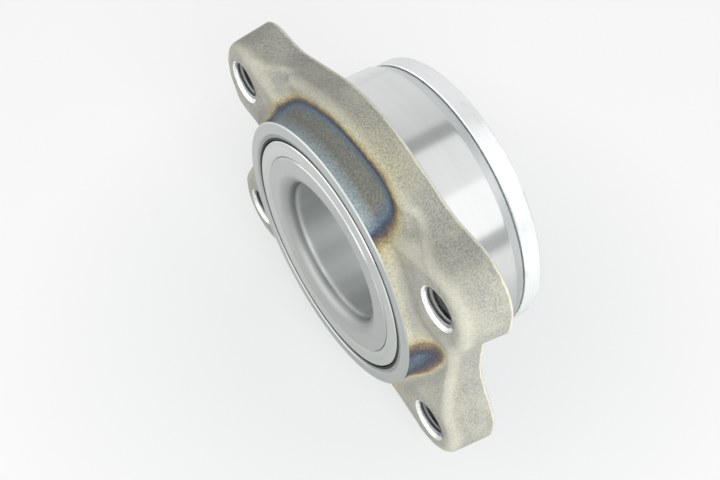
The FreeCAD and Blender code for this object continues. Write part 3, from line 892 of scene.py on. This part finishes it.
def steel_finishes():
    """The outer ring's finishes by their kind."""
    scene = bpy.context.scene
    colours = scene.hub_colours
    return {
        "forged": forged_finish(colours, scene.hub_tint, scene.hub_turned),
        "turned": turned_finish("turned_steel", colours.turned, 0.85, 0.34, 0.12, 0.004),
        "ground": turned_finish("ground_steel", colours.ground, 0.95, 0.13, 0.05, 0.001),
        "drilled": tapped_finish(colours, scene.hub_flange, scene.hub_holes),
    }


def dress(names, material):
    """Gives CAD nodes their material."""
    for name in names:
        mesh = frame["nodes"][name].data
        mesh.materials.clear()
        mesh.materials.append(material)


def both(piece):
    """A piece's names on both sides."""
    return [f"outboard_{piece}", f"inboard_{piece}"]


class HUB_OT_outer_ring(bpy.types.Operator):
    """Build the forged outer ring with its turned and ground faces"""
    bl_idname = "hub.outer_ring"
    bl_label = "Outer Ring"

    def execute(self, context):
        build_outer_ring(steel_finishes())
        return {"FINISHED"}


class HUB_OT_bolt_threads(bpy.types.Operator):
    """Cut the threads of the four bolt holes"""
    bl_idname = "hub.bolt_threads"
    bl_label = "Bolt Threads"

    def execute(self, context):
        colours = context.scene.hub_colours
        # The thread takes the dark seal-case grey, darker than cut steel, as painted shade inside the
        # holes.
        material = plain_finish("thread_steel", colours.case, 0.8, 0.28, 0.3, 0.004)
        for number, (x, z) in enumerate(bolt_places(), 1):
            build_thread(f"bolt_thread_{number}", x, z, material)
        return {"FINISHED"}


class HUB_OT_inner_rings(bpy.types.Operator):
    """Give the inner rings and their clip ground and spring steel"""
    bl_idname = "hub.inner_rings"
    bl_label = "Inner Rings"

    def execute(self, context):
        colours = context.scene.hub_colours
        dress(both("inner_ring"), bored_finish(colours))
        dress(["ring_clip"], plain_finish("spring_steel", colours.spring, 1.0, 0.3, 0.5, 0.003))
        return {"FINISHED"}


class HUB_OT_ball_rows(bpy.types.Operator):
    """Give the balls lapped steel and the cages moulded nylon"""
    bl_idname = "hub.ball_rows"
    bl_label = "Ball Rows"

    def execute(self, context):
        colours = context.scene.hub_colours
        ball_names = [name for name in frame["nodes"] if "_ball_" in name]
        dress(ball_names, plain_finish("ball_steel", colours.ball, 1.0, 0.08, 2.0, 0.0005))
        dress(both("cage"), plain_finish("cage_nylon", colours.nylon, 0.0, 0.55, 0.25, 0.01))
        return {"FINISHED"}


class HUB_OT_seals(bpy.types.Operator):
    """Give the seals coated steel, rubber and stainless steel"""
    bl_idname = "hub.seals"
    bl_label = "Seals"

    def execute(self, context):
        colours = context.scene.hub_colours
        dress(both("seal_case"), plain_finish("case_steel", colours.case, 0.3, 0.5, 0.3, 0.006))
        dress(both("seal_lip"), plain_finish("seal_rubber", colours.rubber, 0.0, 0.6, 0.2, 0.01))
        dress(both("slinger"),
              turned_finish("slinger_steel", colours.slinger, 0.9, 0.22, 0.15, 0.003))
        dress(["encoder_ring"],
              plain_finish("encoder_rubber", colours.encoder, 0.0, 0.5, 0.15, 0.004))
        return {"FINISHED"}


class HUB_OT_rear_cap(bpy.types.Operator):
    """Give the rear cap bright zinc plate"""
    bl_idname = "hub.rear_cap"
    bl_label = "Rear Cap"

    def execute(self, context):
        colours = context.scene.hub_colours
        dress(["rear_cap"], zinc_finish(colours))
        return {"FINISHED"}


class HUB_OT_stage(bpy.types.Operator):
    """Set up the floor, the lamps, the surrounding light and the camera"""
    bl_idname = "hub.stage"
    bl_label = "Stage"

    def execute(self, context):
        settings = context.scene.hub_stage
        build_floor(settings)
        build_light(settings)
        build_camera(settings)
        context.scene.view_settings.view_transform = "Standard"
        return {"FINISHED"}


def build_floor(settings):
    """A large pale floor under the unit, whose shadow is washed out in part, with painted shadow round
    the unit in its glow.
    """
    reach = 3.0
    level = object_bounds()[0].z
    finish = Finish("floor", 0.0, 0.9)
    shade = settings.floor_colour
    cloudy = finish.mix(finish.noise(120.0, 2.0, 0.5), np.multiply(shade, 0.99), shade)
    finish.put(cloudy, finish.shader.inputs["Base Color"])
    x, y, _ = finish.parts(finish.place)
    # Both glows are painted shadow: darker near the unit, brightening with the distance from it, which
    # is in millimetres. The first is seen by the camera, the second in reflections.
    away = hypotenuse(x, y)
    seen = finish.mix(away.fit(45.0, 135.0), (0.84, 0.855, 0.86), (1.0, 1.0, 1.0))
    mirrored = finish.mix(away.fit(20.0, 200.0), (0.50, 0.51, 0.50), (0.98, 0.985, 0.985))
    glow = finish.node("ShaderNodeEmission", {"Color": finish.mix(finish.ray("Glossy"), seen, mirrored)})
    rays = finish.ray("Camera").most(finish.ray("Glossy")).most(finish.ray("Transmission"))
    lit = Value(finish, finish.shader.outputs[0])
    washed = finish.node("ShaderNodeMixShader", {0: rays * settings.floor_glow, 1: lit, 2: glow})
    finish.put(washed, finish.nodes["Material Output"].inputs["Surface"])
    corners = [(-reach, -reach, level), (reach, -reach, level), (reach, reach, level),
               (-reach, reach, level)]
    floor = add_mesh("floor", corners, [(0, 1, 2, 3)], [finish.material])
    floor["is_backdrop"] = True


def stand(name, data, place, aim, roll=0.0):
    """A lamp or camera at a place, aimed at a point and rolled about its line of sight."""
    thing = add_object(name, data)
    thing.location = place
    thing.rotation_mode = "QUATERNION"
    level = (Vector(aim) - Vector(place)).to_track_quat("-Z", "Y").to_matrix()
    thing.rotation_quaternion = (level @ Matrix.Rotation(roll, 3, "Z")).to_quaternion()
    return thing


def add_lamp(name, place, power, size, mirrored):
    """A square soft lamp that points at the unit."""
    lamp = bpy.data.lights.new(name, "AREA")
    lamp.energy = power
    lamp.size = size
    stand(name, lamp, place, (0, 0, 0)).visible_glossy = mirrored


def studio_bands(studio):
    """Brightness of the studio round the bearing axis, from the floor's left to its right."""
    bands = [(-180, 0.70), (-90, 0.64), (-12, 0.55), (-1, 0.55), (0, 0.42), (11, 0.46), (15, 1.0),
             (52, 1.0), (54, 0.80), (91, 0.76), (94, 0.36), (103, 0.36), (107, 0.60), (125, 0.64),
             (140, 0.68), (180, 0.70)]
    x, _, z = studio.parts(studio.node("ShaderNodeTexCoord", {}, "Generated"))
    turn = studio.math("ARCTAN2", z, x) / (2 * math.pi) + 0.5
    return studio.ramp(turn, [(0.5 + degrees / 360, (shade, shade, shade * 1.01))
                              for degrees, shade in bands])


def build_light(settings):
    """Soft lamps on the right and in front, even light all round, and a banded studio to mirror."""
    add_lamp("key_lamp", settings.key_place, settings.key_power, settings.key_size, False)
    add_lamp("front_lamp", settings.front_place, settings.front_power, settings.front_size, True)
    world = bpy.data.worlds.new("studio")
    bpy.context.scene.world = world
    world.use_nodes = True
    studio = Graph(world.node_tree)
    white = (1.0, 1.0, 1.0, 1.0)
    background = studio.nodes["Background"]
    background.inputs["Color"].default_value = white
    background.inputs["Strength"].default_value = settings.sky
    even = Value(studio, background.outputs[0])
    banded = studio.node("ShaderNodeBackground",
                         {"Color": studio_bands(studio), "Strength": settings.mirrored})
    backdrop = studio.node("ShaderNodeBackground", {"Color": white})
    light = studio.node("ShaderNodeMixShader", {0: studio.ray("Glossy"), 1: even, 2: banded})
    seen = studio.node("ShaderNodeMixShader", {0: studio.ray("Camera"), 1: light, 2: backdrop})
    studio.put(seen, studio.nodes["World Output"].inputs["Surface"])


def build_camera(settings):
    """The camera at the photographed angle."""
    camera = bpy.data.cameras.new("camera")
    camera.lens = settings.lens
    camera.clip_start = 0.01
    bpy.context.scene.camera = stand("camera", camera, settings.camera_place, settings.camera_aim,
                                     settings.camera_roll)


OPERATORS = (HUB_OT_outer_ring, HUB_OT_bolt_threads, HUB_OT_inner_rings, HUB_OT_ball_rows,
             HUB_OT_seals, HUB_OT_rear_cap, HUB_OT_stage)


GROUPS = {
    "hub_flange": FlangeSizes,
    "hub_turned": TurnedSizes,
    "hub_holes": HoleSizes,
    "hub_mesh": MeshSizes,
    "hub_colours": FinishColours,
    "hub_tint": HeatTint,
    "hub_stage": StageSettings,
}


class HUB_PT_unit(bpy.types.Panel):
    """The unit's pieces and their sizes"""
    bl_idname = "HUB_PT_unit"
    bl_label = "Wheel Bearing Unit"
    bl_space_type = "VIEW_3D"
    bl_region_type = "UI"
    bl_category = "Bearing Unit"

    def draw(self, context):
        for operator in OPERATORS:
            self.layout.operator(operator.bl_idname)
        for holder in GROUPS:
            group = getattr(context.scene, holder)
            box = self.layout.box()
            box.label(text=group.bl_rna.description)
            for name in group.bl_rna.properties.keys():
                if name not in ("name", "rna_type"):
                    box.prop(group, name)


def register():
    for group in GROUPS.values():
        bpy.utils.register_class(group)
    for holder, group in GROUPS.items():
        setattr(bpy.types.Scene, holder, PointerProperty(type=group))
    for operator in OPERATORS:
        bpy.utils.register_class(operator)
    bpy.utils.register_class(HUB_PT_unit)


def unregister():
    bpy.utils.unregister_class(HUB_PT_unit)
    for operator in reversed(OPERATORS):
        bpy.utils.unregister_class(operator)
    for holder, group in reversed(GROUPS.items()):
        delattr(bpy.types.Scene, holder)
        bpy.utils.unregister_class(group)


def main():
    """Builds every piece in order."""
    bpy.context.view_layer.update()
    register()
    bpy.ops.hub.outer_ring()
    bpy.ops.hub.bolt_threads()
    bpy.ops.hub.inner_rings()
    bpy.ops.hub.ball_rows()
    bpy.ops.hub.seals()
    bpy.ops.hub.rear_cap()
    bpy.ops.hub.stage()
    bpy.context.view_layer.update()


if __name__ == "__main__":
    main()
